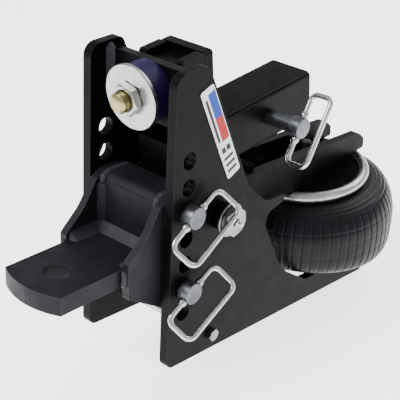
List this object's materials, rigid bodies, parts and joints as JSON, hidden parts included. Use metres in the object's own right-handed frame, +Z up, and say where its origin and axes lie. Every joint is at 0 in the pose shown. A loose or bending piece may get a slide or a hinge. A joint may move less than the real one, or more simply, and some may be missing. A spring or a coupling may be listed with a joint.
{
  "type": "weight distribution hitch",
  "caption": "Ball-mount hitch with a rocking frame cushioned by an air bag and bumpers, with a pinned height-adjustable tongue.",
  "frame": {"origin": "centre of the receiver pin's hole, on the shank's centreline", "axes": "+Y forward along the shank into the vehicle, +Z up, +X to the right, the side the pins are put in from"},
  "size_m": [0.196, 0.4819, 0.3348],
  "materials": {
    "coated_black": "satin textured powder coat",
    "zinc": "bright zinc plate",
    "yellow_zinc": "yellow zinc plate",
    "steel": "drawn steel wire",
    "rubber": "ribbed matt rubber",
    "urethane": "satin urethane",
    "bronze": "plain bronze",
    "sticker": "printed vinyl",
    "plastic": "moulded"
  },
  "bodies": {
    "base": {"air_bag": "rubber", "air_valve": "bronze", "air_valve_cap": "plastic", "bag_mount_plate": "coated_black", "bag_top_bolt_front": "zinc", "bag_top_bolt_rear": "zinc", "bag_top_plate": "coated_black", "bag_top_ring": "zinc", "base_back_plate": "coated_black", "base_bumper_wall": "coated_black", "base_floor_plate": "coated_black", "base_front_plate": "coated_black", "base_lower_web": "coated_black", "base_side_left": "coated_black", "base_side_right": "coated_black", "bumper_bolt": "yellow_zinc", "bumper_front": "urethane", "bumper_nut": "zinc", "bumper_rear": "urethane", "bumper_washer": "zinc", "pivot_bushing_left": "bronze", "pivot_bushing_right": "bronze", "pivot_tube": "coated_black", "receiver_pin": "zinc", "receiver_pin_clip": "steel", "receiver_shank": "coated_black"},
    "rocker": {"bag_bottom_bolt": "zinc", "bag_bottom_plate": "zinc", "bag_platform": "coated_black", "ball_mount_body": "coated_black", "ball_mount_rear_plate": "coated_black", "ball_mount_side_left": "coated_black", "ball_mount_side_right": "coated_black", "ball_mount_tongue": "coated_black", "grease_nipple": "steel", "pin_lower": "zinc", "pin_lower_clip": "steel", "pin_upper": "zinc", "pin_upper_clip": "steel", "pivot_bolt": "zinc", "pivot_boss_left": "coated_black", "pivot_boss_right": "coated_black", "pivot_nut": "zinc", "pivot_washer_left": "zinc", "pivot_washer_right": "zinc", "side_label": "sticker", "side_plate_left": "coated_black", "side_plate_right": "coated_black", "spacer_bolt": "zinc", "spacer_nut": "zinc", "spacer_tube": "zinc", "top_cross_plate": "coated_black"},
    "upper_handle": {"pin_upper_handle": "steel"},
    "lower_handle": {"pin_lower_handle": "steel"},
    "receiver_handle": {"receiver_pin_handle": "steel"}
  },
  "joints": [
    {"name": "rocker_pivot", "type": "hinge", "parent": "base", "child": "rocker", "pos_m": [0, -0.10951, -0.0469], "axis": [1, 0, 0], "range_deg": [-1.5, 3], "stiffness_Nm_per_rad": 2500, "deforming": ["air_bag", "bumper_front", "bumper_rear"]},
    {"name": "upper_handle_swing", "type": "hinge", "parent": "rocker", "child": "upper_handle", "pos_m": [0.06545, -0.15248, -0.0252], "axis": [0, 0.8949, 0.4462], "range_deg": [-145, 0]},
    {"name": "lower_handle_swing", "type": "hinge", "parent": "rocker", "child": "lower_handle", "pos_m": [0.06545, -0.16111, -0.10091], "axis": [0, 0.9171, 0.3987], "range_deg": [-145, 48]},
    {"name": "receiver_handle_swing", "type": "hinge", "parent": "base", "child": "receiver_handle", "pos_m": [0.0614, 0, 0], "axis": [0, 0.5878, 0.809], "range_deg": [-90, 120]}
  ]
}
